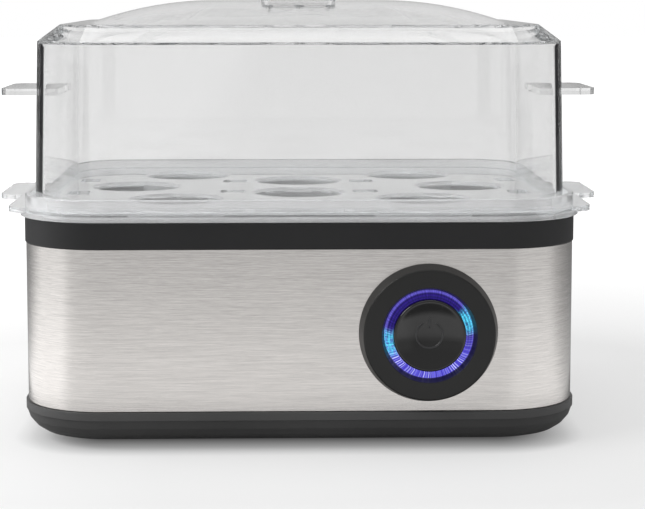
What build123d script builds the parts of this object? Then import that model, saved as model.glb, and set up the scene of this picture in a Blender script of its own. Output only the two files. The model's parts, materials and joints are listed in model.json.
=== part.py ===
from build123d import *
import math
import os

os.makedirs("parts", exist_ok=True)

# Egg cooker. Millimetres, +Z up, front at -Y, origin on the floor under the middle of the body.

# Body. Its depth is that of the bowl with the flange and the ring round it.
SLEEVE_W = 208.8
BOWL_D = 130.0
RIM_ROOM = 19.4
SLEEVE_D = BOWL_D + 2 * RIM_ROOM
SLEEVE_R = 30.4
SLEEVE_T = 0.8
SLEEVE_H = 61.0
FOOT_H = 3.0
BASE_H = 12.1
BASE_LIP_H = 3.1
HULL_IN = 10.0
PROUD = 0.4
BASE_PROUD = 0.9
EDGE_R = 0.4
WALL = 2.2
BAND_H = 10.0
FIT = 0.15
FREE = 0.5

Z_FLOOR = FOOT_H
Z_SLEEVE = FOOT_H + BASE_H
Z_BAND = Z_SLEEVE + SLEEVE_H
Z_TRAY = Z_BAND + BAND_H
LIP_W = SLEEVE_W + 2 * PROUD
LIP_D = SLEEVE_D + 2 * PROUD
LIP_R = SLEEVE_R + PROUD
BASE_W = SLEEVE_W + 2 * BASE_PROUD
BASE_D = SLEEVE_D + 2 * BASE_PROUD
BASE_R = SLEEVE_R + BASE_PROUD
IN_W = SLEEVE_W - 2 * SLEEVE_T
IN_D = SLEEVE_D - 2 * SLEEVE_T
IN_R = SLEEVE_R - SLEEVE_T
FRONT = -SLEEVE_D / 2
REAR = SLEEVE_D / 2

# Water bowl and what hangs under it
BOWL_W = 170.0
BOWL_R = 22.0
BOWL_T = 1.2
BOWL_DEPTH = 22.0
BOWL_FILLET = 7.0
RING_WALL = 6.75
LEDGE_T = 3.5
SEAL_T = 1.0
OPEN_W = LIP_W - 2 * RING_WALL
OPEN_D = LIP_D - 2 * RING_WALL
OPEN_R = LIP_R - RING_WALL
Z_LEDGE = Z_BAND + LEDGE_T
Z_RIM = Z_LEDGE + SEAL_T
Z_RIM_TOP = Z_RIM + BOWL_T
Z_BOWL = Z_RIM_TOP - BOWL_DEPTH
Z_UNDER = Z_BOWL - BOWL_T
RIM_W = OPEN_W - 2 * 0.3
RIM_D = OPEN_D - 2 * 0.3
RIM_R = OPEN_R - 0.3
BOWL_SCREWS = [
    (sx * BOWL_W * 0.26, sy * (BOWL_D / 2 + 5.5)) for sx in (-1, 1) for sy in (-1, 1)
]
ELEMENT_W = 7.0
ELEMENT_H = 6.0
LOOP_W = 120.0
LOOP_D = 76.0
LOOP_R = 28.0
LOOP_GAP = 34.0
THERMOSTAT_D = 16.0
THERMOSTAT_H = 10.0
SIDE_BLADE_W = 6.2
SIDE_BLADE_L = 8.0
BLADE_T = 0.8
STUD_X = 18.0
STUD_D = 3.0
STRIP_T = 1.2
STRIP_W = 10.0
STRIP_END = 5.5
BLADE_L = 10.0
CERAMIC_H = 5.6
CERAMIC_L = 6.0
CERAMIC_W = 5.2
NUT_W = 5.5
NUT_H = 2.4

# Screw columns that hold the case together
POST_OUT = 28.0
POST_X = BOWL_W / 2 - BOWL_R + POST_OUT * math.sqrt(0.5)
POST_Y = BOWL_D / 2 - BOWL_R + POST_OUT * math.sqrt(0.5)
POST_D = 10.0
POST_H = 17.0
POST_Z = FOOT_H + POST_H
PILOT_L = 16.0
POSTS = [(sx * POST_X, sy * POST_Y) for sx in (-1, 1) for sy in (-1, 1)]
FEET = [(sx * SLEEVE_W * 0.337, sy * SLEEVE_D * 0.298) for sx in (-1, 1) for sy in (-1, 1)]
FOOT_D = 14.0
SHIELD_Z = 30.0
SHIELD_T = 1.0
SHIELD_W = 130.0
SHIELD_D = 84.0
SHIELD_POSTS = [
    (sx * (SHIELD_W / 2 - 9), sy * (SHIELD_D / 2 - 8)) for sx in (-1, 1) for sy in (-1, 1)
]

# Terminal block and cord gland at the back
BLOCK_X = -44.0
BLOCK_Y = 58.0
BLOCK_W = 34.0
BLOCK_D = 16.0
BLOCK_H = 13.0
BLOCK_PAD = 3.0
GLAND_X = -62.0
GLAND_Z = 34.0
GLAND_D = 12.0
GLAND_FLANGE_D = 18.0
GLAND_BORE = 7.0
GLAND_RELIEF = 8.4
GLAND_OUT = 7.1
GLAND_IN = 8.0
GLAND_SEAT = 0.3

# Button group on the front
KNOB_X = 47.1
KNOB_Z = 44.7
BEZEL_D = 48.8
BEZEL_FOOT_D = 51.6
BEZEL_OUT = 6.5
RING_OD = 32.6
RING_ID = 27.4
RING_IN = 0.5
RING_FALL = 2.6
BORE_FLARE = 1.0
SPIGOT_D = 43.4
SPIGOT_L = 8.5
BUTTON_D = RING_ID - 0.6
TRAVEL = 2.5
CAP_IN = -0.6
DISH = 3.0
CAP_T = 5.2
STEM_D = 7.6
CARRIER_D = 50.0
PLATE_T = 2.5
BOARD_T = 1.6
LAMP_T = 1.0
SWITCH_W = 16.0
SWITCH_L = 11.0
Y_FACE = FRONT - BEZEL_OUT
Y_PLATE = FRONT + SPIGOT_L
Y_BACK = Y_PLATE + PLATE_T
Y_GUIDE = Y_PLATE - BOARD_T - LAMP_T - 0.4
Y_STEM = Y_BACK + 1.9
Y_SWITCH = Y_STEM + TRAVEL + 0.6
SCREW_R = 19.5
KNOB_AXIS = Axis((KNOB_X, 0, KNOB_Z), (0, 1, 0))
KNOB_PLANE = Plane(origin=(KNOB_X, 0, KNOB_Z), x_dir=(1, 0, 0), z_dir=(0, 0, 1))

# Egg tray
FLANGE_PROUD = 1.5
FLANGE_H = 3.7
PLATE = 2.0
COLLAR_T = 2.0
COLLAR_IN = 0.25
COLLAR_H = 4.3
TAB_HALF = 119.2
TAB_W = 46.0
EAR_HALF = 110.0
EAR_W = 140.0
EAR_R = 9.0
SEAT_D = 35.0
SEAT_RIM = 1.7
SEAT_H = 4.0
RACK_LEDGE = 1.4
SKIRT_T = 1.8
SEATS = [(-47.5, -46), (47.5, -46), (0, -23), (-66.5, 0), (66.5, 0), (0, 23), (-47.5, 46), (47.5, 46)]
SLOTS = [(sx * 26.5, sy * 20.0) for sx in (-1, 1) for sy in (-1, 1)]
END_SLOTS = [(sx * 88.0, sy * 24.0) for sx in (-1, 1) for sy in (-1, 1)]
Z_FLANGE = Z_TRAY + FLANGE_H
Z_DECK = Z_FLANGE + 0.8
Z_COLLAR = Z_FLANGE + COLLAR_H
FLANGE_W = LIP_W + 2 * FLANGE_PROUD
FLANGE_D = LIP_D + 2 * FLANGE_PROUD
FLANGE_R = LIP_R + FLANGE_PROUD
COLLAR_W = LIP_W - 2 * COLLAR_IN
COLLAR_D = LIP_D - 2 * COLLAR_IN
COLLAR_R = LIP_R - COLLAR_IN

# Lid
LID_CLEAR = 1.9
LID_T = 2.5
LID_WALL_H = 60.9
LID_DRAFT = 1.55
SHOULDER_IN = 8.6
SHOULDER_H = 6.3
DOME_IN = 7.0
DOME = [(0.0, 0.0), (10.2, 3.3), (25.2, 6.75), (51.2, 8.75)]
GRIP_W = 30.0
GRIP_D = 18.0
GRIP_H = 10.5
HANDLE_BACK = 0.8
HANDLE_HALF = TAB_HALF - HANDLE_BACK
HANDLE_W = TAB_W
HANDLE_T = 2.6
HANDLE_Z = 38.6
VENT_D = 4.0
LID_W = COLLAR_W - 2 * COLLAR_T - 2 * LID_CLEAR
LID_D = COLLAR_D - 2 * COLLAR_T - 2 * LID_CLEAR
LID_R = COLLAR_R - COLLAR_T - LID_CLEAR
Z_LID = Z_DECK
Z_SHOULDER = Z_LID + LID_WALL_H
Z_LEVEL = Z_SHOULDER + SHOULDER_H
Z_TOP = Z_LEVEL + DOME[-1][1]
CUT = Mode.SUBTRACT
UP = (Align.CENTER, Align.CENTER, Align.MIN)


def outline(w, d, r, z):
    with BuildSketch(Plane.XY.offset(z)) as sk:
        RectangleRounded(w, d, r)
    return sk.sketch.faces()[0]


def slab(w, d, r, z0, z1, mode=Mode.ADD):
    extrude(outline(w, d, r, z0), amount=z1 - z0, dir=(0, 0, 1), mode=mode)


def inset_slab(w, d, r, off, z0, z1, mode=Mode.ADD):
    slab(w - 2 * off, d - 2 * off, r - off, z0, z1, mode)


def hull(w, d, r, profile, mode=Mode.ADD, ruled=True):
    faces = [outline(w - 2 * off, d - 2 * off, r - off, z) for off, z in profile]
    loft(faces, ruled=ruled, mode=mode)


def rod(spots, dia, z0, z1, mode=Mode.ADD):
    with Locations(*[(x, y, z0) for x, y in spots]):
        Cylinder(dia / 2, z1 - z0, align=UP, mode=mode)


def barrel(spots, dia, y0, y1, mode=Mode.ADD):
    with Locations(*[Location((x, y0, z), (-90, 0, 0)) for x, z in spots]):
        Cylinder(dia / 2, y1 - y0, align=UP, mode=mode)


def block(x0, x1, y0, y1, z0, z1, mode=Mode.ADD):
    with Locations(((x0 + x1) / 2, (y0 + y1) / 2, z0)):
        Box(x1 - x0, y1 - y0, z1 - z0, align=UP, mode=mode)


def turned(points, mode=Mode.ADD):
    with BuildSketch(KNOB_PLANE) as sk:
        with BuildLine():
            Polyline(*points, close=True)
        make_face()
    revolve(sk.sketch, axis=KNOB_AXIS, mode=mode)


def round_knob(count, radius, turn=90.0):
    spots = []
    for i in range(count):
        a = math.radians(turn + i * 360.0 / count)
        spots.append((KNOB_X + radius * math.cos(a), KNOB_Z + radius * math.sin(a)))
    return spots


# Base shell: curved hull, vertical lip, upstand inside the sleeve, bosses and posts
Z_LIP = Z_SLEEVE - BASE_LIP_H
with BuildPart() as base_shell:
    hull(BASE_W, BASE_D, BASE_R, [
        (HULL_IN, Z_FLOOR),
        (HULL_IN * 0.66, Z_FLOOR + 1.0),
        (HULL_IN * 0.36, Z_FLOOR + 3.0),
        (HULL_IN * 0.13, Z_FLOOR + 5.8),
        (HULL_IN * 0.02, Z_LIP),
    ])
    slab(BASE_W, BASE_D, BASE_R, Z_LIP, Z_SLEEVE)
    hull(BASE_W, BASE_D, BASE_R, [
        (HULL_IN, Z_FLOOR + WALL),
        (HULL_IN * 0.36 + WALL, Z_FLOOR + 4.4),
        (WALL + 0.8, Z_LIP),
    ], mode=CUT)
    inset_slab(BASE_W, BASE_D, BASE_R, WALL + 0.8, Z_LIP, Z_SLEEVE, CUT)
    inset_slab(IN_W, IN_D, IN_R, FIT, Z_LIP + 0.6, Z_SLEEVE + 3.5)
    inset_slab(IN_W, IN_D, IN_R, FIT + 2.0, Z_LIP + 0.6, Z_SLEEVE + 3.5, CUT)
    rod(POSTS, POST_D + 2, Z_FLOOR + 1, POST_Z)
    rod(POSTS, 7.4, Z_FLOOR - 1, POST_Z - 6, CUT)
    rod(POSTS, 3.6, Z_FLOOR, POST_Z + 1, CUT)
    rod(FEET, 6.2, Z_FLOOR - 1, Z_FLOOR + WALL + 1, CUT)
    rod(SHIELD_POSTS, 8.0, Z_FLOOR + 1, SHIELD_Z)
    rod(SHIELD_POSTS, 2.7, SHIELD_Z - 10, SHIELD_Z + 1, CUT)
    block(BLOCK_X - BLOCK_W / 2, BLOCK_X + BLOCK_W / 2, BLOCK_Y - BLOCK_D / 2, BLOCK_Y + BLOCK_D / 2,
          Z_FLOOR + 1, Z_FLOOR + WALL + BLOCK_PAD)
    rod([(BLOCK_X, BLOCK_Y)], 2.7, Z_FLOOR + 1.2, Z_FLOOR + WALL + BLOCK_PAD + 1, CUT)
    with Locations(*[(x, 0, Z_FLOOR + WALL / 2) for x in (-24, -12, 0, 12, 24)]):
        Box(4.0, 36.0, WALL * 2, mode=CUT)
base_shell.part.label = "base_shell"
export_step(base_shell.part, "parts/base_shell.step")

# Rubber feet: pad, neck through the floor, barb above it
with BuildPart() as rubber_feet:
    with BuildSketch(Plane.XY):
        with Locations(*FEET):
            Circle(FOOT_D / 2 - 0.8)
    extrude(amount=0.8, taper=-45)
    rod(FEET, FOOT_D, 0.8, FOOT_H)
    rod(FEET, 6.0, FOOT_H, FOOT_H + WALL)
    rod(FEET, 7.8, FOOT_H + WALL, FOOT_H + WALL + 1.4)
rubber_feet.part.label = "rubber_feet"
export_step(rubber_feet.part, "parts/rubber_feet.step")

# Case screws, from below through the base bosses into the ring's posts
with BuildPart() as case_screws:
    rod(POSTS, 6.6, POST_Z - 8.6, POST_Z - 6)
    rod(POSTS, 3.0, POST_Z - 6, POST_Z + PILOT_L - 2)
    with Locations(*[(x, y, POST_Z - 8.6) for x, y in POSTS]):
        Box(4.6, 1.0, 2.0, mode=CUT)
        Box(1.0, 4.6, 2.0, mode=CUT)
case_screws.part.label = "case_screws"
export_step(case_screws.part, "parts/case_screws.step")

# Steel sleeve with rolled edges, with the bezel's hole in front and the gland's hole behind
with BuildPart() as steel_sleeve:
    slab(SLEEVE_W, SLEEVE_D, SLEEVE_R, Z_SLEEVE, Z_BAND)
    fillet(steel_sleeve.edges().group_by(Axis.Z)[0] + steel_sleeve.edges().group_by(Axis.Z)[-1], radius=EDGE_R)
    slab(IN_W, IN_D, IN_R, Z_SLEEVE - 1, Z_BAND + 1, CUT)
    barrel([(KNOB_X, KNOB_Z)], SPIGOT_D + 0.6, FRONT - 1, FRONT + 5, CUT)
    barrel([(GLAND_X, GLAND_Z)], GLAND_D + 0.4, REAR - 5, REAR + 1, CUT)
steel_sleeve.part.label = "steel_sleeve"
export_step(steel_sleeve.part, "parts/steel_sleeve.step")

# Top ring: black band, ledge for the bowl, skirt inside the sleeve, screw posts
with BuildPart() as top_ring:
    slab(LIP_W, LIP_D, LIP_R, Z_BAND, Z_TRAY)
    fillet(top_ring.edges().group_by(Axis.Z)[-1], radius=0.8)
    inset_slab(IN_W, IN_D, IN_R, FIT, Z_BAND - 3.5, Z_BAND)
    inset_slab(IN_W, IN_D, IN_R, FIT + WALL, Z_BAND - 4, Z_BAND, CUT)
    slab(OPEN_W, OPEN_D, OPEN_R, Z_LEDGE, Z_TRAY + 1, CUT)
    rod(POSTS, POST_D, POST_Z, Z_LEDGE)
    rod(BOWL_SCREWS, 7.0, Z_BAND - 6, Z_LEDGE)
    slab(BOWL_W + 2, BOWL_D + 2, BOWL_R + 1, Z_BAND - 7, Z_LEDGE + 1, CUT)
    rod(POSTS, 3.1, POST_Z - 1, POST_Z + PILOT_L, CUT)
    rod(BOWL_SCREWS, 3.1, Z_BAND - 5, Z_LEDGE + 1, CUT)
top_ring.part.label = "top_ring"
export_step(top_ring.part, "parts/top_ring.step")

# Silicone seal on the ledge
with BuildPart() as bowl_seal:
    slab(RIM_W, RIM_D, RIM_R, Z_LEDGE, Z_RIM)
    slab(BOWL_W + 3, BOWL_D + 3, BOWL_R + 1.5, Z_LEDGE - 1, Z_RIM + 1, CUT)
    rod(BOWL_SCREWS, 3.8, Z_LEDGE - 1, Z_RIM + 1, CUT)
bowl_seal.part.label = "bowl_seal"
export_step(bowl_seal.part, "parts/bowl_seal.step")

# Heating bowl with its flange, and the studs welded under it
with BuildPart() as bowl_inside:
    inset_slab(BOWL_W, BOWL_D, BOWL_R, BOWL_T, Z_BOWL, Z_RIM_TOP + 5)
    fillet(bowl_inside.edges().group_by(Axis.Z)[0], radius=BOWL_FILLET - BOWL_T)
with BuildPart() as heating_bowl:
    slab(BOWL_W, BOWL_D, BOWL_R, Z_UNDER, Z_RIM_TOP)
    fillet(heating_bowl.edges().group_by(Axis.Z)[0], radius=BOWL_FILLET)
    slab(RIM_W, RIM_D, RIM_R, Z_RIM, Z_RIM_TOP)
    add(bowl_inside.part, mode=CUT)
    rod([(-STUD_X, 0), (STUD_X, 0)], STUD_D, Z_UNDER - THERMOSTAT_H - STRIP_T - 3.2, Z_UNDER + 0.4)
    rod(BOWL_SCREWS, 3.4, Z_RIM - 1, Z_RIM_TOP + 1, CUT)
heating_bowl.part.label = "heating_bowl"
export_step(heating_bowl.part, "parts/heating_bowl.step")

# Screws through flange and seal into the ring
with BuildPart() as bowl_screws:
    rod(BOWL_SCREWS, 6.0, Z_RIM_TOP, Z_RIM_TOP + 1.8)
    fillet(bowl_screws.edges().group_by(Axis.Z)[-1], radius=0.7)
    rod(BOWL_SCREWS, 3.0, Z_BAND - 4, Z_RIM_TOP)
    with Locations(*[(x, y, Z_RIM_TOP + 1.8) for x, y in BOWL_SCREWS]):
        Box(3.6, 0.9, 1.6, mode=CUT)
        Box(0.9, 3.6, 1.6, mode=CUT)
bowl_screws.part.label = "bowl_screws"
export_step(bowl_screws.part, "parts/bowl_screws.step")

# Flattened tubular element, a loop open at the back
with BuildPart() as heating_element:
    slab(LOOP_W + ELEMENT_W, LOOP_D + ELEMENT_W, LOOP_R + ELEMENT_W / 2, Z_UNDER - ELEMENT_H, Z_UNDER)
    fillet(heating_element.edges().group_by(Axis.Z)[0], radius=2.4)
    slab(LOOP_W - ELEMENT_W, LOOP_D - ELEMENT_W, LOOP_R - ELEMENT_W / 2,
         Z_UNDER - ELEMENT_H - 1, Z_UNDER + 1, CUT)
    block(-LOOP_GAP / 2, LOOP_GAP / 2, 0, LOOP_D, Z_UNDER - 20, Z_UNDER + 5, CUT)
heating_element.part.label = "heating_element"
export_step(heating_element.part, "parts/heating_element.step")

# Ceramic ends of the element with their blades
with BuildPart() as element_terminals:
    for s in (-1, 1):
        x0, x1 = sorted((s * LOOP_GAP / 2, s * (LOOP_GAP / 2 - CERAMIC_L)))
        y0, y1 = LOOP_D / 2 - CERAMIC_W / 2, LOOP_D / 2 + CERAMIC_W / 2
        block(x0, x1, y0, y1, Z_UNDER - CERAMIC_H, Z_UNDER - 0.4)
        xm = (x0 + x1) / 2
        block(xm - BLADE_T / 2, xm + BLADE_T / 2, y0, y1,
              Z_UNDER - CERAMIC_H - BLADE_L + 0.6, Z_UNDER - CERAMIC_H + 0.6)
element_terminals.part.label = "element_terminals"
export_step(element_terminals.part, "parts/element_terminals.step")

# Thermostat pressed against the bowl, with two side blades
with BuildPart() as thermostat:
    rod([(0, 0)], THERMOSTAT_D, Z_UNDER - THERMOSTAT_H, Z_UNDER)
    reach = THERMOSTAT_D / 2 + SIDE_BLADE_L
    block(-SIDE_BLADE_W / 2, SIDE_BLADE_W / 2, -reach, reach,
          Z_UNDER - THERMOSTAT_H + 2.0, Z_UNDER - THERMOSTAT_H + 2.0 + BLADE_T)
thermostat.part.label = "thermostat"
export_step(thermostat.part, "parts/thermostat.step")

# Strip that holds it up
Z_STRIP = Z_UNDER - THERMOSTAT_H - STRIP_T
with BuildPart() as thermostat_clip:
    slab(2 * STUD_X + 2 * STRIP_END, STRIP_W, STRIP_W * 0.49, Z_STRIP, Z_STRIP + STRIP_T)
    rod([(-STUD_X, 0), (STUD_X, 0)], STUD_D + 0.4, Z_STRIP - 1, Z_STRIP + 5, CUT)
thermostat_clip.part.label = "thermostat_clip"
export_step(thermostat_clip.part, "parts/thermostat_clip.step")

with BuildPart() as clip_nuts:
    with BuildSketch(Plane.XY.offset(Z_STRIP - NUT_H)):
        with Locations((-STUD_X, 0), (STUD_X, 0)):
            RegularPolygon(NUT_W / math.sqrt(3), 6)
            Circle(STUD_D / 2 + 0.05, mode=CUT)
    extrude(amount=NUT_H)
clip_nuts.part.label = "clip_nuts"
export_step(clip_nuts.part, "parts/clip_nuts.step")

# One-shot fuse in a saddle
FUSE_Y = -22.0
FUSE_D = 5.0
FUSE_L = 18.0
FUSE_LEAD_L = 32.0
FUSE_LEAD_D = 1.2
SADDLE_L = 8.0
SADDLE_W = 8.0
with BuildPart() as thermal_fuse:
    with Locations(Location((-FUSE_L / 2, FUSE_Y, Z_UNDER - FUSE_D / 2 - 0.1), (0, 90, 0))):
        Cylinder(FUSE_D / 2, FUSE_L, align=UP)
    with Locations(Location((-FUSE_LEAD_L / 2, FUSE_Y, Z_UNDER - FUSE_D / 2 - 0.1), (0, 90, 0))):
        Cylinder(FUSE_LEAD_D / 2, FUSE_LEAD_L, align=UP)
thermal_fuse.part.label = "thermal_fuse"
export_step(thermal_fuse.part, "parts/thermal_fuse.step")

with BuildPart() as fuse_clip:
    half = SADDLE_L / 2
    block(-half, half, FUSE_Y - SADDLE_W / 2, FUSE_Y + SADDLE_W / 2, Z_UNDER - FUSE_D - 1.4, Z_UNDER)
    block(-half, half, FUSE_Y - SADDLE_W, FUSE_Y + SADDLE_W, Z_UNDER - 1.0, Z_UNDER)
    block(-half - 1, half + 1, FUSE_Y - FUSE_D / 2 - 0.3, FUSE_Y + FUSE_D / 2 + 0.3,
          Z_UNDER - FUSE_D - 0.4, Z_UNDER + 1, CUT)
fuse_clip.part.label = "fuse_clip"
export_step(fuse_clip.part, "parts/fuse_clip.step")

# Heat shield on the base's posts
with BuildPart() as heat_shield:
    slab(SHIELD_W, SHIELD_D, 6.0, SHIELD_Z, SHIELD_Z + 6.0)
    inset_slab(SHIELD_W, SHIELD_D, 6.0, SHIELD_T, SHIELD_Z + SHIELD_T, SHIELD_Z + 7.0, CUT)
    rod(SHIELD_POSTS, 3.2, SHIELD_Z - 1, SHIELD_Z + 3, CUT)
heat_shield.part.label = "heat_shield"
export_step(heat_shield.part, "parts/heat_shield.step")

with BuildPart() as shield_screws:
    rod(SHIELD_POSTS, 5.4, SHIELD_Z + SHIELD_T, SHIELD_Z + SHIELD_T + 2.0)
    rod(SHIELD_POSTS, 2.6, SHIELD_Z - 8, SHIELD_Z + SHIELD_T)
    with Locations(*[(x, y, SHIELD_Z + SHIELD_T + 2.0) for x, y in SHIELD_POSTS]):
        Box(3.4, 0.8, 1.6, mode=CUT)
        Box(0.8, 3.4, 1.6, mode=CUT)
shield_screws.part.label = "shield_screws"
export_step(shield_screws.part, "parts/shield_screws.step")

# Terminal block on its pad
Z_BLOCK = Z_FLOOR + WALL + BLOCK_PAD
with BuildPart() as terminal_block:
    block(BLOCK_X - BLOCK_W / 2, BLOCK_X + BLOCK_W / 2, BLOCK_Y - BLOCK_D / 2, BLOCK_Y + BLOCK_D / 2,
          Z_BLOCK, Z_BLOCK + 5)
    for i in (-1, 1):
        xc = BLOCK_X + i * BLOCK_W * 0.3
        block(xc - 4.5, xc + 4.5, BLOCK_Y - BLOCK_D / 2, BLOCK_Y + BLOCK_D / 2, Z_BLOCK + 4, Z_BLOCK + BLOCK_H)
        barrel([(xc, Z_BLOCK + 8)], 3.6, BLOCK_Y - BLOCK_D, BLOCK_Y + BLOCK_D, CUT)
        rod([(xc, BLOCK_Y - 4), (xc, BLOCK_Y + 4)], 3.4, Z_BLOCK + 9, Z_BLOCK + BLOCK_H + 1, CUT)
    rod([(BLOCK_X, BLOCK_Y)], 3.2, Z_BLOCK - 1, Z_BLOCK + 6, CUT)
terminal_block.part.label = "terminal_block"
export_step(terminal_block.part, "parts/terminal_block.step")

with BuildPart() as block_screw:
    rod([(BLOCK_X, BLOCK_Y)], 5.4, Z_BLOCK + 5, Z_BLOCK + 7)
    rod([(BLOCK_X, BLOCK_Y)], 2.6, Z_FLOOR + 1.6, Z_BLOCK + 5)
    with Locations((BLOCK_X, BLOCK_Y, Z_BLOCK + 7)):
        Box(4.0, 0.9, 1.6, mode=CUT)
block_screw.part.label = "block_screw"
export_step(block_screw.part, "parts/block_screw.step")

# Cord gland through the back of the sleeve, its bore wider inside, and its nut
with BuildPart() as cord_gland:
    barrel([(GLAND_X, GLAND_Z)], GLAND_FLANGE_D, REAR, REAR + 3)
    barrel([(GLAND_X, GLAND_Z)], GLAND_D, REAR - GLAND_IN, REAR + GLAND_OUT)
    chamfer(cord_gland.edges().group_by(Axis.Y)[-1], length=1.0)
    barrel([(GLAND_X, GLAND_Z)], GLAND_BORE, REAR - GLAND_IN, REAR + GLAND_OUT + 1, CUT)
    barrel([(GLAND_X, GLAND_Z)], GLAND_RELIEF, REAR - GLAND_IN - 1, REAR + GLAND_SEAT, CUT)
cord_gland.part.label = "cord_gland"
export_step(cord_gland.part, "parts/cord_gland.step")

with BuildPart() as gland_nut:
    with BuildSketch(Plane(origin=(GLAND_X, REAR - SLEEVE_T, GLAND_Z), x_dir=(1, 0, 0), z_dir=(0, -1, 0))):
        RegularPolygon(17.0 / math.sqrt(3), 6)
        Circle(GLAND_D / 2 + 0.05, mode=CUT)
    extrude(amount=4.0)
gland_nut.part.label = "gland_nut"
export_step(gland_nut.part, "parts/gland_nut.step")

# Bezel: round block on the front with a tapered side, and a spigot through the sleeve
R_BEZEL = BEZEL_D / 2
R_BORE = RING_OD / 2 + 0.3
R_STEP = R_BORE + 1.0
with BuildPart() as button_bezel:
    turned([
        (R_BORE, Y_FACE + RING_IN + RING_FALL),
        (R_BORE + BORE_FLARE, Y_FACE),
        (R_BEZEL - 0.6, Y_FACE),
        (R_BEZEL - 0.18, Y_FACE + 0.18),
        (R_BEZEL, Y_FACE + 0.6),
        (BEZEL_FOOT_D / 2, FRONT),
        (SPIGOT_D / 2, FRONT),
        (SPIGOT_D / 2, Y_PLATE),
        (R_STEP, Y_PLATE),
        (R_STEP, FRONT + 0.5),
        (R_BORE, FRONT + 0.5),
    ])
    barrel(round_knob(3, SCREW_R), 2.0, Y_PLATE - 7, Y_PLATE + 1, CUT)
button_bezel.part.label = "button_bezel"
export_step(button_bezel.part, "parts/button_bezel.step")

# Light ring: clear tube whose front falls off outward, with a back flange in the bezel's step
with BuildPart() as light_ring:
    turned([
        (RING_ID / 2, Y_FACE + RING_IN + 0.3),
        (RING_ID / 2 + 0.3, Y_FACE + RING_IN),
        (RING_OD / 2, Y_FACE + RING_IN + RING_FALL),
        (RING_OD / 2, FRONT + 0.5),
        (R_STEP - 0.3, FRONT + 0.5),
        (R_STEP - 0.3, Y_GUIDE),
        (RING_ID / 2, Y_GUIDE),
    ])
light_ring.part.label = "light_ring"
export_step(light_ring.part, "parts/light_ring.step")

# Push button: dished cap with its stem, grooved for the clip
Y_CAP = Y_FACE + CAP_IN
R_CAP = BUTTON_D / 2
with BuildPart() as push_button:
    turned([
        (0, Y_CAP + DISH),
        (R_CAP * 0.25, Y_CAP + DISH * 0.94),
        (R_CAP * 0.5, Y_CAP + DISH * 0.73),
        (R_CAP * 0.7, Y_CAP + DISH * 0.43),
        (R_CAP * 0.84, Y_CAP + DISH * 0.15),
        (R_CAP - 1.0, Y_CAP),
        (R_CAP - 0.4, Y_CAP + 0.15),
        (R_CAP, Y_CAP + 0.7),
        (R_CAP, FRONT + 0.4),
        (R_CAP - 1.8, FRONT + 0.4),
        (R_CAP - 1.8, Y_CAP + CAP_T),
        (STEM_D / 2, Y_CAP + CAP_T),
        (STEM_D / 2, Y_BACK + 0.1),
        (STEM_D / 2 - 0.8, Y_BACK + 0.1),
        (STEM_D / 2 - 0.8, Y_BACK + 1.0),
        (STEM_D / 2, Y_BACK + 1.0),
        (STEM_D / 2, Y_STEM),
        (0, Y_STEM),
    ])
push_button.part.label = "push_button"
export_step(push_button.part, "parts/push_button.step")

# Clip in the stem's groove, behind the carrier's plate
with BuildPart() as stem_clip:
    turned([
        (STEM_D / 2 - 0.75, Y_BACK + 0.15),
        (6.2, Y_BACK + 0.15),
        (6.2, Y_BACK + 0.95),
        (STEM_D / 2 - 0.75, Y_BACK + 0.95),
    ])
    block(KNOB_X - 2.4, KNOB_X + 2.4, Y_BACK - 1, Y_BACK + 2, KNOB_Z - 10, KNOB_Z, CUT)
stem_clip.part.label = "stem_clip"
export_step(stem_clip.part, "parts/stem_clip.step")

# Return spring between the cap and the carrier's plate
SPRING_R = 6.2
SPRING_WIRE = 0.9
SPRING_Y0 = Y_CAP + CAP_T + SPRING_WIRE / 2 + 0.05
SPRING_Y1 = Y_PLATE - SPRING_WIRE / 2 - 0.05
with BuildPart() as button_spring:
    with BuildLine() as coil:
        Helix(
            pitch=(SPRING_Y1 - SPRING_Y0) / 4,
            height=SPRING_Y1 - SPRING_Y0,
            radius=SPRING_R,
            center=(KNOB_X, SPRING_Y0, KNOB_Z),
            direction=(0, 1, 0),
        )
    with BuildSketch(Plane(origin=coil.line @ 0, z_dir=coil.line % 0)):
        RegularPolygon(SPRING_WIRE / 2, 6)
    sweep(path=coil.line, is_frenet=True)
button_spring.part.label = "button_spring"
export_step(button_spring.part, "parts/button_spring.step")

# Carrier: clamps the sleeve to the bezel, guides the stem, grips the switch
with BuildPart() as switch_carrier:
    turned([
        (SPIGOT_D / 2 + 0.3, FRONT + SLEEVE_T),
        (CARRIER_D / 2, FRONT + SLEEVE_T),
        (CARRIER_D / 2, Y_BACK),
        (STEM_D / 2 + 0.4, Y_BACK),
        (STEM_D / 2 + 0.4, Y_PLATE),
        (SPIGOT_D / 2 + 0.3, Y_PLATE),
    ])
    barrel(round_knob(3, SCREW_R), 2.4, Y_PLATE - 1, Y_BACK + 1, CUT)
    for s in (-1, 1):
        x0, x1 = sorted((KNOB_X + s * SWITCH_W / 2, KNOB_X + s * (SWITCH_W / 2 + 2.5)))
        block(x0, x1, Y_BACK - 0.5, Y_SWITCH + SWITCH_L, KNOB_Z - 6, KNOB_Z + 6)
        x2, x3 = sorted((KNOB_X + s * (SWITCH_W / 2 - 1.5), KNOB_X + s * (SWITCH_W / 2 + 2.5)))
        block(x2, x3, Y_SWITCH + SWITCH_L, Y_SWITCH + SWITCH_L + 1.5, KNOB_Z - 6, KNOB_Z + 6)
        block(x2, x3, Y_BACK - 0.5, Y_SWITCH, KNOB_Z - 6, KNOB_Z + 6)
switch_carrier.part.label = "switch_carrier"
export_step(switch_carrier.part, "parts/switch_carrier.step")

with BuildPart() as carrier_screws:
    barrel(round_knob(3, SCREW_R), 4.0, Y_BACK, Y_BACK + 1.6)
    barrel(round_knob(3, SCREW_R), 1.9, Y_PLATE - 6, Y_BACK)
carrier_screws.part.label = "carrier_screws"
export_step(carrier_screws.part, "parts/carrier_screws.step")

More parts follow.
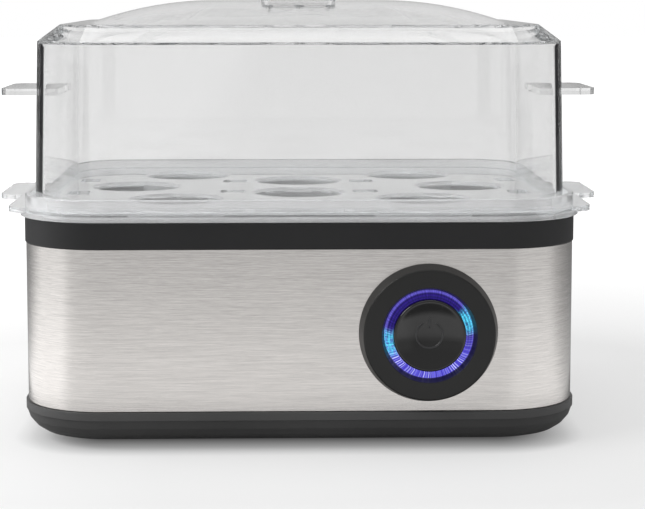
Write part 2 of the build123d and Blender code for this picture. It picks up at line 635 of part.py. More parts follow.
# Board behind the light ring, with its lamps
with BuildPart() as led_board:
    turned([
        (8.0, Y_PLATE - BOARD_T),
        (R_STEP - 0.3, Y_PLATE - BOARD_T),
        (R_STEP - 0.3, Y_PLATE),
        (8.0, Y_PLATE),
    ])
led_board.part.label = "led_board"
export_step(led_board.part, "parts/led_board.step")

R_LAMP = (RING_OD + RING_ID) / 4
with BuildPart() as blue_leds:
    for turn in (20.0, 190.0):
        a = math.radians(turn)
        x, z = KNOB_X + R_LAMP * math.cos(a), KNOB_Z + R_LAMP * math.sin(a)
        with Locations((x, Y_PLATE - BOARD_T - LAMP_T / 2, z)):
            Box(2.0, LAMP_T, 2.0)
blue_leds.part.label = "blue_leds"
export_step(blue_leds.part, "parts/blue_leds.step")

# Push switch with its square bore and two blades, and the plunger that the stem pushes
with BuildPart() as push_switch:
    block(KNOB_X - SWITCH_W / 2, KNOB_X + SWITCH_W / 2, Y_SWITCH, Y_SWITCH + SWITCH_L,
          KNOB_Z - SWITCH_W / 2, KNOB_Z + SWITCH_W / 2)
    block(KNOB_X - 2.5, KNOB_X + 2.5, Y_SWITCH - 1, Y_SWITCH + 9.0, KNOB_Z - 2.5, KNOB_Z + 2.5, CUT)
    for s in (-1, 1):
        zc = KNOB_Z + s * 4.5
        block(KNOB_X - 2.4, KNOB_X + 2.4, Y_SWITCH + SWITCH_L, Y_SWITCH + SWITCH_L + 7, zc - 0.4, zc + 0.4)
push_switch.part.label = "push_switch"
export_step(push_switch.part, "parts/push_switch.step")

with BuildPart() as switch_plunger:
    block(KNOB_X - 2.0, KNOB_X + 2.0, Y_STEM, Y_SWITCH + 9.0 - TRAVEL - 0.6, KNOB_Z - 2.0, KNOB_Z + 2.0)
switch_plunger.part.label = "switch_plunger"
export_step(switch_plunger.part, "parts/switch_plunger.step")

# Inner leads: block to switch, switch to element, element to thermostat, thermostat to fuse, fuse to block
LEAD_D = 1.8
Y_BLADE = Y_SWITCH + SWITCH_L + 7.1
X_POST = BLOCK_W * 0.3
X_END = LOOP_GAP / 2 - 3
Y_BLOCK = BLOCK_Y - BLOCK_D / 2
Z_LEAD = Z_BLOCK + 8
Z_FUSE = Z_UNDER - FUSE_D / 2 - 0.1
Z_TAB = Z_UNDER - THERMOSTAT_H + 2.4
Y_TAB = THERMOSTAT_D / 2 + 8.1
Z_BLADE = Z_UNDER - CERAMIC_H - BLADE_L + 0.5
Z_PASS = SHIELD_Z + 7.7
Y_AROUND = SHIELD_D / 2 + 5
RUNS = [
    [
        (BLOCK_X + X_POST, Y_BLOCK + 3, Z_LEAD),
        (BLOCK_X + X_POST, -SHIELD_D / 2 - 2, Z_LEAD),
        (KNOB_X - 1.5, -SHIELD_D / 2 - 2, Z_LEAD),
        (KNOB_X - 1.5, -SHIELD_D / 2 - 2, KNOB_Z - 4.5),
        (KNOB_X - 1.5, Y_BLADE, KNOB_Z - 4.5),
    ],
    [
        (KNOB_X + 1.5, Y_BLADE, KNOB_Z + 4.5),
        (KNOB_X + 1.5, Y_BLADE + 5, KNOB_Z + 4.5),
        (KNOB_X + 1.5, Y_BLADE + 5, Z_PASS + 2.2),
        (KNOB_X + 1.5, LOOP_D / 2, Z_PASS + 2.2),
        (X_END + 6.5, LOOP_D / 2, Z_PASS + 2.2),
        (X_END + 6.5, LOOP_D / 2, Z_BLADE + 4),
        (X_END + 0.5, LOOP_D / 2, Z_BLADE + 4),
    ],
    [
        (-X_END - 0.5, LOOP_D / 2, Z_BLADE + 4),
        (-X_END - 6.5, LOOP_D / 2, Z_BLADE + 4),
        (-X_END - 6.5, LOOP_D / 2, Z_PASS + 2.2),
        (-X_END - 6.5, Y_TAB + 6, Z_PASS + 2.2),
        (0, Y_TAB + 6, Z_PASS + 2.2),
        (0, Y_TAB + 6, Z_TAB),
        (0, Y_TAB, Z_TAB),
    ],
    [
        (0, -Y_TAB, Z_TAB),
        (0, FUSE_Y, Z_TAB),
        (-22.0, FUSE_Y, Z_TAB),
        (-22.0, FUSE_Y, Z_FUSE),
        (-16.1, FUSE_Y, Z_FUSE),
    ],
    [
        (16.1, FUSE_Y, Z_FUSE),
        (24.0, FUSE_Y, Z_FUSE),
        (24.0, FUSE_Y, Z_PASS),
        (24.0, Y_AROUND, Z_PASS),
        (BLOCK_X - X_POST, Y_AROUND, Z_PASS),
        (BLOCK_X - X_POST, Y_AROUND, Z_LEAD),
        (BLOCK_X - X_POST, Y_BLOCK + 3, Z_LEAD),
    ],
]
with BuildPart() as leads:
    for spots in RUNS:
        with BuildLine() as run:
            FilletPolyline(*spots, radius=2.2)
        with BuildSketch(Plane(origin=run.line @ 0, z_dir=run.line % 0)):
            Circle(LEAD_D / 2)
        sweep(path=run.line)
leads.part.label = "leads"
export_step(leads.part, "parts/leads.step")

# Egg tray: flange with turned-down lip, ears, tabs and collar, and inside it the rack's ledge and a skirt
Z_PLATE = Z_FLANGE - PLATE
Z_RACK = Z_DECK - PLATE
Z_SKIRT = Z_RIM_TOP + 0.8
with BuildPart() as egg_tray:
    slab(FLANGE_W, FLANGE_D, FLANGE_R, Z_TRAY, Z_FLANGE)
    fillet(egg_tray.edges().group_by(Axis.Z)[-1], radius=0.8)
    inset_slab(FLANGE_W, FLANGE_D, FLANGE_R, 2.0, Z_TRAY - 1, Z_PLATE, CUT)
    slab(2 * EAR_HALF, EAR_W, EAR_R, Z_PLATE, Z_FLANGE)
    slab(2 * TAB_HALF, TAB_W, 6.0, Z_PLATE, Z_FLANGE)
    slab(COLLAR_W, COLLAR_D, COLLAR_R, Z_FLANGE - 0.5, Z_COLLAR)
    fillet(egg_tray.edges().group_by(Axis.Z)[-1], radius=0.6)
    inset_slab(COLLAR_W, COLLAR_D, COLLAR_R, COLLAR_T, Z_RACK, Z_COLLAR + 1, CUT)
    inset_slab(COLLAR_W, COLLAR_D, COLLAR_R, COLLAR_T + 1.0, Z_TRAY, Z_RACK)
    inset_slab(COLLAR_W, COLLAR_D, COLLAR_R, COLLAR_T + 3.0, Z_TRAY - 1, Z_RACK - RACK_LEDGE, CUT)
    inset_slab(OPEN_W, OPEN_D, OPEN_R, FREE, Z_SKIRT, Z_RACK)
    inset_slab(OPEN_W, OPEN_D, OPEN_R, FREE + SKIRT_T, Z_SKIRT - 1, Z_RACK + 1, CUT)
egg_tray.part.label = "egg_tray"
export_step(egg_tray.part, "parts/egg_tray.step")

# Egg rack: plate on the tray's ledge with rimmed egg seats and steam slots
with BuildPart() as egg_rack:
    inset_slab(COLLAR_W, COLLAR_D, COLLAR_R, COLLAR_T + FIT, Z_RACK, Z_DECK)
    rod(SEATS, SEAT_D + 2 * SEAT_RIM, Z_RACK - SEAT_H, Z_RACK)
    rod(SEATS, SEAT_D, Z_RACK - SEAT_H - 1, Z_DECK + 1, CUT)
    with Locations(*[(x, y, Z_DECK - 1.2) for x, y in SEATS]):
        Cone(SEAT_D / 2, SEAT_D / 2 + 1.5, 1.5, align=UP, mode=CUT)
    for spots, w, d in ((SLOTS, 10.0, 10.0), (END_SLOTS, 9.0, 14.0)):
        with BuildSketch(Plane.XY.offset(Z_RACK - 1)):
            with Locations(*spots):
                RectangleRounded(w, d, 2.0)
        extrude(amount=PLATE + 3, mode=CUT)
egg_rack.part.label = "egg_rack"
export_step(egg_rack.part, "parts/egg_rack.step")

# Lid: drafted walls, chamfered shoulder, domed top, grip, vents and handle tabs
IN_TOP = LID_DRAFT + SHOULDER_IN
DOME_OFF = IN_TOP + DOME_IN
with BuildPart() as lid:
    hull(LID_W, LID_D, LID_R, [(0, Z_LID), (LID_DRAFT, Z_SHOULDER), (IN_TOP, Z_LEVEL)])
    slab(2 * HANDLE_HALF, HANDLE_W, 6.0, Z_LID + HANDLE_Z, Z_LID + HANDLE_Z + HANDLE_T)
    dome_faces = []
    for off, up in DOME:
        w = LID_W - 2 * (DOME_OFF + off)
        d = LID_D - 2 * (DOME_OFF + off)
        dome_faces.append(outline(w, d, d * 0.3, Z_LEVEL - 0.4 + up * 1.042))
    loft(dome_faces)
    slab(GRIP_W, GRIP_D, 6.0, Z_TOP - 2.0, Z_TOP + GRIP_H)
    fillet(lid.edges().group_by(Axis.Z)[-1], radius=2.0)
    hull(LID_W, LID_D, LID_R, [
        (LID_T, Z_LID - 1),
        (LID_DRAFT + LID_T, Z_SHOULDER - 0.9),
        (IN_TOP + LID_T * 0.7, Z_LEVEL - LID_T),
    ], mode=CUT)
    bowl_faces = []
    for off, up in DOME:
        w = LID_W - 2 * (DOME_OFF + off + 1.6)
        d = LID_D - 2 * (DOME_OFF + off + 1.6)
        bowl_faces.append(outline(w, d, d * 0.3, Z_LEVEL - LID_T - 0.2 + up * 1.0))
    loft(bowl_faces, mode=CUT)
    slab(GRIP_W - 5.0, GRIP_D - 5.0, 3.5, Z_TOP - 8.0, Z_TOP + GRIP_H - 2.5, CUT)
    rod([(-12, -38), (0, -38), (12, -38)], VENT_D, Z_LEVEL - 5, Z_TOP + 5, CUT)
lid.part.label = "lid"
export_step(lid.part, "parts/lid.step")
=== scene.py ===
import json
import math
import bmesh
import bpy
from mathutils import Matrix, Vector


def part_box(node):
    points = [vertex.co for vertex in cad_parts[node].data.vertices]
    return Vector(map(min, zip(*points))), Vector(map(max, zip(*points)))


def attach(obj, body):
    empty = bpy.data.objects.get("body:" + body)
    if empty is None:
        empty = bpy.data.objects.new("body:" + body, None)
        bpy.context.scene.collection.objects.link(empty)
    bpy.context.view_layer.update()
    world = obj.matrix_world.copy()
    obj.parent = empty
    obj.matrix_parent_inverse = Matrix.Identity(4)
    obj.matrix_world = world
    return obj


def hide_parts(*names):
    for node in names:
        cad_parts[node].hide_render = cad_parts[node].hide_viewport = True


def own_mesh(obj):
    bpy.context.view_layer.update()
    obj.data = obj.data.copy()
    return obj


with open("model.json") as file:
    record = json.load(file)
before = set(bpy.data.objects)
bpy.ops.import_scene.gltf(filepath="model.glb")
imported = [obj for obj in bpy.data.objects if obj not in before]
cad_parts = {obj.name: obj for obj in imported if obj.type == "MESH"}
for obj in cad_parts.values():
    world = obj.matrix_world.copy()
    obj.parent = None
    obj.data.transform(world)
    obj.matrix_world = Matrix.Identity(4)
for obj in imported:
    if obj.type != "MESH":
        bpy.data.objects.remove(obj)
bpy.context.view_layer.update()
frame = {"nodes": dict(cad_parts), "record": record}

NODES = frame["nodes"]
SLOT_OF = {p["node"]: p["material_slot"] for p in frame["record"]["subparts"]}
MM = 0.001
# Middle of the button, level with the foremost point of its rim
KNOB = Vector((47.1, -91.5, 44.7)) * MM


class Nodes:
    """A node tree in the making."""

    def __init__(self, tree):
        self.tree = tree

    def add(self, kind, **props):
        node = self.tree.nodes.new("ShaderNode" + kind)
        for key, value in props.items():
            setattr(node, key, value)
        return node

    def link(self, source, target):
        self.tree.links.new(source, target)

    def put(self, value, socket):
        """A number goes on the socket itself, anything else is linked to it."""
        if isinstance(value, (int, float)):
            socket.default_value = value
        else:
            self.link(value, socket)

    def math(self, op, a, b=0.0, clamp=False):
        node = self.add("Math", operation=op, use_clamp=clamp)
        for socket, value in zip(node.inputs, (a, b)):
            self.put(value, socket)
        return node.outputs[0]

    def spread(self, value, low, high, start=0.3, end=0.7):
        """From low to high while value goes from start to end."""
        node = self.add("MapRange")
        for key, number in (("From Min", start), ("From Max", end), ("To Min", low), ("To Max", high)):
            node.inputs[key].default_value = number
        self.link(value, node.inputs["Value"])
        return node.outputs["Result"]


class Net(Nodes):
    """A material: a Principled shader and the textures that feed it."""

    def __init__(self, name, colour=None, **sockets):
        self.mat = bpy.data.materials.new(name)
        self.mat.use_nodes = True
        super().__init__(self.mat.node_tree)
        self.bsdf = self.tree.nodes["Principled BSDF"]
        self.out = self.tree.nodes["Material Output"]
        self.coords = self.add("TexCoord").outputs["Object"]
        if colour:
            self.bsdf.inputs["Base Color"].default_value = (*colour, 1)
        for key, value in sockets.items():
            self.bsdf.inputs[key.replace("_", " ")].default_value = value

    def axes(self):
        split = self.add("SeparateXYZ")
        self.link(self.coords, split.inputs[0])
        return split.outputs

    def noise(self, scale, detail=3.0, rough=0.55, stretch=(1, 1, 1)):
        place = self.add("Mapping")
        place.inputs["Scale"].default_value = stretch
        self.link(self.coords, place.inputs["Vector"])
        node = self.add("TexNoise")
        node.inputs["Scale"].default_value = scale
        node.inputs["Detail"].default_value = detail
        node.inputs["Roughness"].default_value = rough
        self.link(place.outputs[0], node.inputs["Vector"])
        return node.outputs["Fac"]

    def shades(self, value, dark, light, start=0.3, end=0.7):
        node = self.add("ValToRGB")
        first, last = node.color_ramp.elements
        first.position, last.position = start, end
        first.color, last.color = (*dark, 1), (*light, 1)
        self.link(value, node.inputs["Fac"])
        return node.outputs["Color"]

    def blend(self, share, start, end):
        """From the colour in start to the plain colour end."""
        node = self.add("Mix", data_type="RGBA")
        self.link(share, node.inputs["Factor"])
        self.link(start, node.inputs[6])
        node.inputs[7].default_value = (*end, 1)
        return node.outputs[2]

    def between(self, share, start, end):
        """From the number start to the number end."""
        node = self.add("Mix", data_type="FLOAT")
        for key, value in (("Factor", share), ("A", start), ("B", end)):
            self.put(value, node.inputs[key])
        return node.outputs["Result"]

    def mixed(self, share, first, second):
        node = self.add("MixShader")
        self.put(share, node.inputs[0])
        self.link(first.outputs[0], node.inputs[1])
        self.link(second.outputs[0], node.inputs[2])
        return node

    def show(self, shader):
        self.link(shader.outputs[0], self.out.inputs["Surface"])

    def feed(self, key, value):
        self.link(value, self.bsdf.inputs[key])

    def relief(self, height, depth, strength=1.0, soft=None):
        """Bump, over edges rounded by soft."""
        bump = self.add("Bump")
        bump.inputs["Strength"].default_value = strength
        bump.inputs["Distance"].default_value = depth
        self.link(height, bump.inputs["Height"])
        if soft:
            edge = self.add("Bevel", samples=6)
            edge.inputs["Radius"].default_value = soft
            self.link(edge.outputs[0], bump.inputs["Normal"])
        self.feed("Normal", bump.outputs[0])


def scaled(colour, factor):
    return tuple(c * factor for c in colour)


def moulded(name, colour, rough, grain=0.00004, soft=0.0004, **sockets):
    """Moulded plastic or rubber: fine spark-eroded grain, slow change of shade and of gloss."""
    net = Net(name, **sockets)
    slow = net.noise(22, 4)
    net.feed("Base Color", net.shades(slow, scaled(colour, 0.88), scaled(colour, 1.12)))
    net.feed("Roughness", net.spread(net.noise(60, 5), rough - 0.05, rough + 0.06))
    net.relief(net.noise(3200, 2), grain, 0.5, soft)
    return net.mat


def brushed(name, colour, rough):
    """Sheet with a level brushed grain: fine streaks in shade, gloss and relief."""
    net = Net(name, Metallic=1.0, Anisotropic=0.5, Anisotropic_Rotation=0.25)
    fine = net.noise(210, 5, 0.7, (1, 1, 24))
    long = net.noise(64, 4, 0.6, (1, 1, 42))
    streaks = net.math("ADD", net.math("MULTIPLY", fine, 0.6), net.math("MULTIPLY", long, 0.4))
    net.feed("Base Color", net.shades(streaks, scaled(colour, 0.80), scaled(colour, 1.14), 0.36, 0.64))
    net.feed("Roughness", net.spread(fine, rough - 0.06, rough + 0.08))
    turn = net.add("Tangent", direction_type="RADIAL", axis="Z")
    net.feed("Tangent", turn.outputs[0])
    net.relief(streaks, 0.00006, 0.5)
    return net.mat


def plated(name, colour, rough, grain=400):
    """Plated or rolled metal with faint scuffs."""
    net = Net(name, Metallic=1.0)
    scuff = net.noise(grain, 5, 0.65)
    net.feed("Base Color", net.shades(scuff, scaled(colour, 0.82), scaled(colour, 1.08)))
    net.feed("Roughness", net.spread(net.noise(90, 4), rough - 0.07, rough + 0.1))
    net.relief(scuff, 0.00003, 0.4, 0.0003)
    return net.mat


def clear(name, colour, rough, glass, density):
    """Clear moulded plastic: it bends light, takes a little of it, and lets the lamps through."""
    net = Net(name, colour, Roughness=rough, IOR=1.5, Transmission_Weight=glass)
    net.relief(net.noise(38, 2), 0.00025, 0.02)
    through = net.add("BsdfTransparent")
    through.inputs["Color"].default_value = (0.93, 0.94, 0.94, 1)
    net.show(net.mixed(net.add("LightPath").outputs["Is Shadow Ray"], net.bsdf, through))
    take = net.add("VolumeAbsorption")
    take.inputs["Color"].default_value = (0.04, 0.05, 0.06, 1)
    take.inputs["Density"].default_value = density
    net.link(take.outputs[0], net.out.inputs["Volume"])
    return net.mat


# Lit ring: its colours, its lamps in degrees from the right, its ribs, and its bands in radians per metre
VIOLET_DEEP = (0.022, 0.011, 0.16)
VIOLET = (0.09, 0.072, 0.64)
PALE = (0.66, 0.70, 1.0)
RIM_BLUE = (0.20, 0.17, 0.80)
CYAN = (0.10, 0.66, 0.92)
RING_LAMPS = (20.0, 192.0)
RIBS = 110.0
BANDS = 5600.0


def lit_ring(name):
    """Light guide: deep violet above, pale ticks on its ribs below, cyan over its two lamps."""
    net = Net(name, (0.02, 0.02, 0.10), Roughness=0.2, IOR=1.49, Specular_IOR_Level=0.25)
    axes = net.axes()
    dx = net.math("SUBTRACT", axes["X"], KNOB.x)
    dz = net.math("SUBTRACT", axes["Z"], KNOB.z)
    turn = net.math("ARCTAN2", dz, dx)
    wide = net.math("SQRT", net.math("ADD", net.math("POWER", dx, 2.0), net.math("POWER", dz, 2.0)))
    below = net.spread(net.math("SINE", turn), 1.0, 0.0, -0.5, 0.25)
    streaks = net.add("TexNoise", noise_dimensions="1D")
    streaks.inputs["Scale"].default_value = 26.0
    streaks.inputs["Detail"].default_value = 3.0
    net.link(turn, streaks.inputs["W"])
    uneven = streaks.outputs["Fac"]

    ribs = net.math("SINE", net.math("MULTIPLY", turn, RIBS))
    ticks = net.math("POWER", net.spread(ribs, 0.0, 1.0, -1.0, 1.0), 2.0)
    ticks = net.math("MULTIPLY", ticks, net.spread(uneven, 0.0, 1.0, 0.44, 0.62))
    violet = net.shades(below, VIOLET_DEEP, VIOLET, 0.0, 1.0)
    ticked = net.blend(net.math("MULTIPLY", ticks, below), violet, PALE)
    outer = net.spread(wide, 0.0, 0.5, 0.0153, 0.0161)
    rim = net.math("SUBTRACT", outer, net.math("MULTIPLY", below, 0.35), clamp=True)
    edged = net.blend(rim, ticked, RIM_BLUE)
    peaks = []
    for lamp in RING_LAMPS:
        gap = net.math("COSINE", net.math("SUBTRACT", turn, math.radians(lamp)))
        peaks.append(net.spread(gap, 0.0, 1.0, 0.93, 0.99))
    glow = net.math("ADD", *peaks, clamp=True)
    patchy = net.math("MULTIPLY", glow, net.spread(net.noise(800, 2), 0.25, 1.0, 0.38, 0.58))
    net.feed("Emission Color", net.blend(patchy, edged, CYAN))

    bands = net.spread(net.math("SINE", net.math("MULTIPLY", wide, BANDS)), 0.55, 1.25, -1.0, 1.0)
    plain = net.math("ADD", net.math("MULTIPLY", bands, net.math("SUBTRACT", 1.0, below)), below)
    net.feed("Emission Strength", net.math("MULTIPLY", plain, net.spread(uneven, 0.7, 1.3)))
    net.relief(ribs, 0.0002, 0.6)
    return net.mat


def lamp_chip(name):
    net = Net(name, (0.30, 0.55, 1.0), Roughness=0.3, Emission_Strength=1.5)
    core = net.noise(900, 2)
    net.feed("Emission Color", net.shades(core, (0.05, 0.25, 0.9), (0.3, 0.7, 1.0)))
    return net.mat


FINISH = {
    "clear_plastic": clear("clear_plastic", (0.82, 0.82, 0.82), 0.0, 1.0, 3.0),
    "black_plastic": moulded("black_plastic", (0.021, 0.021, 0.022), 0.44, Specular_IOR_Level=0.28),
    "bezel_plastic": moulded("bezel_plastic", (0.017, 0.017, 0.0165), 0.36, Specular_IOR_Level=0.34),
    "brushed_steel": brushed("brushed_steel", (0.63, 0.607, 0.588), 0.2),
    "coated_bowl": moulded("coated_bowl", (0.018, 0.018, 0.019), 0.38, 0.00003, Specular_IOR_Level=0.2),
    "silicone": moulded("silicone", (0.70, 0.69, 0.66), 0.6),
    "foot_rubber": moulded("foot_rubber", (0.035, 0.035, 0.035), 0.75, 0.00008),
    "screw_steel": plated("screw_steel", (0.62, 0.62, 0.63), 0.26),
    "sheath": plated("sheath", (0.36, 0.34, 0.32), 0.4, 160),
    "ceramic": moulded("ceramic", (0.80, 0.78, 0.72), 0.55),
    "shield_metal": plated("shield_metal", (0.66, 0.67, 0.68), 0.3, 240),
    "phenolic": moulded("phenolic", (0.10, 0.07, 0.05), 0.5),
    "light_guide": lit_ring("light_guide"),
    "lamp": lamp_chip("lamp"),
    "board": moulded("board", (0.04, 0.16, 0.07), 0.35, 0.00002),
    "lead_jacket": moulded("lead_jacket", (0.72, 0.71, 0.67), 0.7, 0.0001),
}
BUTTON = moulded("button_plastic", (0.007, 0.007, 0.0068), 0.05, 0.00001, None, Specular_IOR_Level=0.55)
TRAY = clear("tray_plastic", (0.97, 0.97, 0.975), 0.0, 0.74, 0.0)
BY_NODE = {
    "push_button": BUTTON,
    "egg_tray": TRAY,
    "egg_rack": TRAY,
    # The base is the band's black plastic painted lighter: painted sheen, standing in for the floor light
    # its hull catches
    "base_shell": moulded("base_plastic_painted_sheen", (0.094, 0.094, 0.094), 0.42, Specular_IOR_Level=0.4),
}
for name, obj in NODES.items():
    obj.data.materials.clear()
    obj.data.materials.append(BY_NODE.get(name) or FINISH[SLOT_OF[name]])


# Push button with a smooth dish, its spring, and the power sign raised on it; lengths in mm
CREST_R = 12.46
DISH_D = 3.0
DISH_RINGS = 24
DISH_POWER = 2.1
# Radius and depth along the rounded rim
RIM = [(12.5, 0.01), (12.8, 0.02), (13.05, 0.12), (13.25, 0.32), (13.36, 0.55), (13.4, 0.8)]
CAP_R = RIM[-1][0]
SKIRT_R = 11.6
SKIRT_D = 7.5
WEB_D = 5.2
STEM_R = 3.8
STEM_D = 20.0
GROOVE_R = 3.0
GROOVE_D = (18.2, 19.1)
CAP_SIDES = 96
SHARP = math.radians(38)

WIRE_R = 0.45 * MM
WIRE_SIDES = 10
COILS = 4
COIL_STEPS = 28

SIGN_R = 4.9
SIGN_FROM = 118
SIGN_SWEEP = 304
ARC_STEPS = 40
STROKE_FROM = 2.4
STROKE_LONG = 4.2
STROKE_STEPS = 10
BEAD_HALF = 0.42
BEAD_PROUD = 0.22
BEAD_SUNK = 0.05
BEAD_SIDES = 6
BEAD_ENDS = (0.35, 0.8)


def placed(name, mesh, mat):
    mesh.materials.append(mat)
    obj = bpy.data.objects.new(name, mesh)
    bpy.context.scene.collection.objects.link(obj)
    return obj


def meshed(name, bm):
    mesh = bpy.data.meshes.new(name)
    bm.to_mesh(mesh)
    bm.free()
    return mesh


def piece(name, bm, mat, body="button"):
    """A smooth closed piece that rides on a body."""
    bmesh.ops.recalc_face_normals(bm, faces=bm.faces)
    for face in bm.faces:
        face.smooth = True
    obj = placed(name, meshed(name, bm), mat)
    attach(obj, body)
    return obj


def tube(bm, rings):
    """Faces between one closed ring of points and the next."""
    for a, b in zip(rings, rings[1:]):
        for k in range(len(a)):
            bm.faces.new((a[k - 1], a[k], b[k], b[k - 1]))


def capped(bm, rings):
    bm.faces.new(rings[0])
    bm.faces.new(tuple(reversed(rings[-1])))


def circle(sides):
    return [math.tau * k / sides for k in range(sides)]


def dish(r):
    return DISH_D * (1 - (r / CREST_R) ** DISH_POWER)


def on_dish(x, z, out=0.0):
    return KNOB + Vector((x, dish(math.hypot(x, z)) - out, z)) * MM


def button_cap():
    """The dished cap, its rim and its stem, turned about the axis."""
    radii = [CREST_R * i / DISH_RINGS for i in range(1, DISH_RINGS)]
    profile = [(r, dish(r)) for r in radii] + RIM
    profile += [(CAP_R, SKIRT_D), (SKIRT_R, SKIRT_D), (SKIRT_R, WEB_D), (STEM_R, WEB_D)]
    profile += [(STEM_R, GROOVE_D[0]), (GROOVE_R, GROOVE_D[0]), (GROOVE_R, GROOVE_D[1])]
    profile += [(STEM_R, GROOVE_D[1]), (STEM_R, STEM_D)]
    bm = bmesh.new()
    rings = []
    for r, deep in profile:
        spots = [Vector((r * math.cos(a), deep, r * math.sin(a))) for a in circle(CAP_SIDES)]
        rings.append([bm.verts.new(KNOB + spot * MM) for spot in spots])
    tube(bm, rings)
    for ring, deep in ((rings[0], DISH_D), (rings[-1], STEM_D)):
        tip = bm.verts.new(KNOB + Vector((0, deep, 0)) * MM)
        for k in range(CAP_SIDES):
            bm.faces.new((ring[k - 1], ring[k], tip))
    cap = piece("button_cap", bm, BUTTON)
    cap.data.set_sharp_from_angle(angle=SHARP)
    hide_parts("push_button")


def return_spring():
    """Coiled round wire at the length of the spring part."""
    low, high = (Vector(c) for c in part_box("button_spring"))
    middle = (low + high) / 2
    coil_r = (high.x - low.x) / 2 - WIRE_R
    first = low.y + WIRE_R
    run = high.y - WIRE_R - first
    steps = COILS * COIL_STEPS
    bm = bmesh.new()
    rings = []
    for i in range(steps + 1):
        a = math.tau * i / COIL_STEPS
        out = Vector((math.cos(a), 0, math.sin(a)))
        spot = Vector((middle.x, first + run * i / steps, middle.z)) + out * coil_r
        sides = [out * math.cos(b) + Vector((0, math.sin(b), 0)) for b in circle(WIRE_SIDES)]
        rings.append([bm.verts.new(spot + side * WIRE_R) for side in sides])
    tube(bm, rings)
    capped(bm, rings)
    coil = piece("return_spring", bm, FINISH["screw_steel"], "base")
    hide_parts("button_spring")
    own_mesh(coil)


def bead(name, points, mat):
    """A low rounded bead along points on the dish, its ends drawn in."""
    bm = bmesh.new()
    rings = []
    for i, (x, z) in enumerate(points):
        before = points[max(i - 1, 0)]
        after = points[min(i + 1, len(points) - 1)]
        along = Vector((after[0] - before[0], after[1] - before[1])).normalized()
        side = Vector((-along.y, along.x))
        end = min(i, len(points) - 1 - i)
        size = BEAD_ENDS[end] if end < len(BEAD_ENDS) else 1.0
        ring = []
        for k in range(BEAD_SIDES + 1):
            a = math.pi * k / BEAD_SIDES
            off = side * math.cos(a) * BEAD_HALF * size
            lift = math.sin(a) * BEAD_PROUD * size - BEAD_SUNK
            ring.append(bm.verts.new(on_dish(x + off.x, z + off.y, lift)))
        rings.append(ring)
    for a, b in zip(rings, rings[1:]):
        for k in range(BEAD_SIDES):
            bm.faces.new((a[k], b[k], b[k + 1], a[k + 1]))
    capped(bm, rings)
    piece(name, bm, mat)


button_cap()
return_spring()
turns = [math.radians(SIGN_FROM + SIGN_SWEEP * i / ARC_STEPS) for i in range(ARC_STEPS + 1)]
arc = [(SIGN_R * math.cos(a), SIGN_R * math.sin(a)) for a in turns]
stroke = [(0.0, STROKE_FROM + STROKE_LONG * i / STROKE_STEPS) for i in range(STROKE_STEPS + 1)]
sign = moulded("sign_plastic", (0.034, 0.034, 0.036), 0.3, 0.00002, None)
bead("power_sign_ring", arc, sign)
bead("power_sign_stroke", stroke, sign)


# Floor, lamps, cards and camera; lengths in metres
# Shade of the paper round the set, by degrees from the front, left of it below zero
PAPER = [
    (-180, 0.70), (-170, 0.60), (-164, 0.06), (-128, 0.12), (-113, 0.40), (-102, 0.80), (-92, 1.12),
    (-58, 1.18), (-48, 0.80), (-28, 0.75), (0, 0.74), (27, 0.68), (36, 0.88), (74, 0.90), (88, 0.53),
    (104, 0.30), (130, 0.08), (164, 0.06), (170, 0.60), (180, 0.70),
]
# The ramp's colours end at one, so the shades are held as parts of this
BRIGHTEST = 1.5
WALL_PART = 0.75
WALL_TOP = 0.52
# Straight part of the base's plan, from the middle to where its corners begin
PLAN_HALF = (("X", 0.074), ("Y", 0.054))
FLOOR_HALF = 6
HOOP_SIDES = 96


def inside_bounce(net):
    """1 for rays that left clear plastic after a bounce inside it."""
    path = net.add("LightPath")
    bounced = net.math("GREATER_THAN", path.outputs["Glossy Depth"], 0.5)
    return net.math("MULTIPLY", bounced, path.outputs["Is Transmission Ray"])


def background(net, plain):
    """1 for rays that show the background, plain for lamp light."""
    path = net.add("LightPath")
    seen = net.math("MAXIMUM", path.outputs["Is Camera Ray"], path.outputs["Is Glossy Ray"])
    return net.spread(net.math("MAXIMUM", seen, path.outputs["Is Transmission Ray"]), plain, 1.0, 0.0, 1.0)


def mirrored(net):
    """1 for rays that come from a reflection; glossy alone would take in light bent by clear plastic."""
    rays = net.add("LightPath").outputs
    return net.math("SUBTRACT", rays["Is Glossy Ray"], rays["Is Transmission Ray"], clamp=True)


def around(net):
    """Degrees round the set from the front, as 0 to 1 from the back over the left."""
    axes = net.axes()
    turn = net.math("ARCTAN2", axes["X"], net.math("MULTIPLY", axes["Y"], -1.0))
    return net.spread(turn, 0.0, 1.0, -math.pi, math.pi)


def paper_shade(net):
    ramp = net.add("ValToRGB")
    stops = ramp.color_ramp.elements
    for degrees, _ in PAPER[1:-1]:
        stops.new((degrees + 180) / 360)
    for stop, (degrees, shade) in zip(stops, PAPER):
        grey = shade / BRIGHTEST
        stop.position = (degrees + 180) / 360
        stop.color = (grey, grey, grey, 1)
    net.link(around(net), ramp.inputs["Fac"])
    return net.math("MULTIPLY", ramp.outputs["Color"], BRIGHTEST)


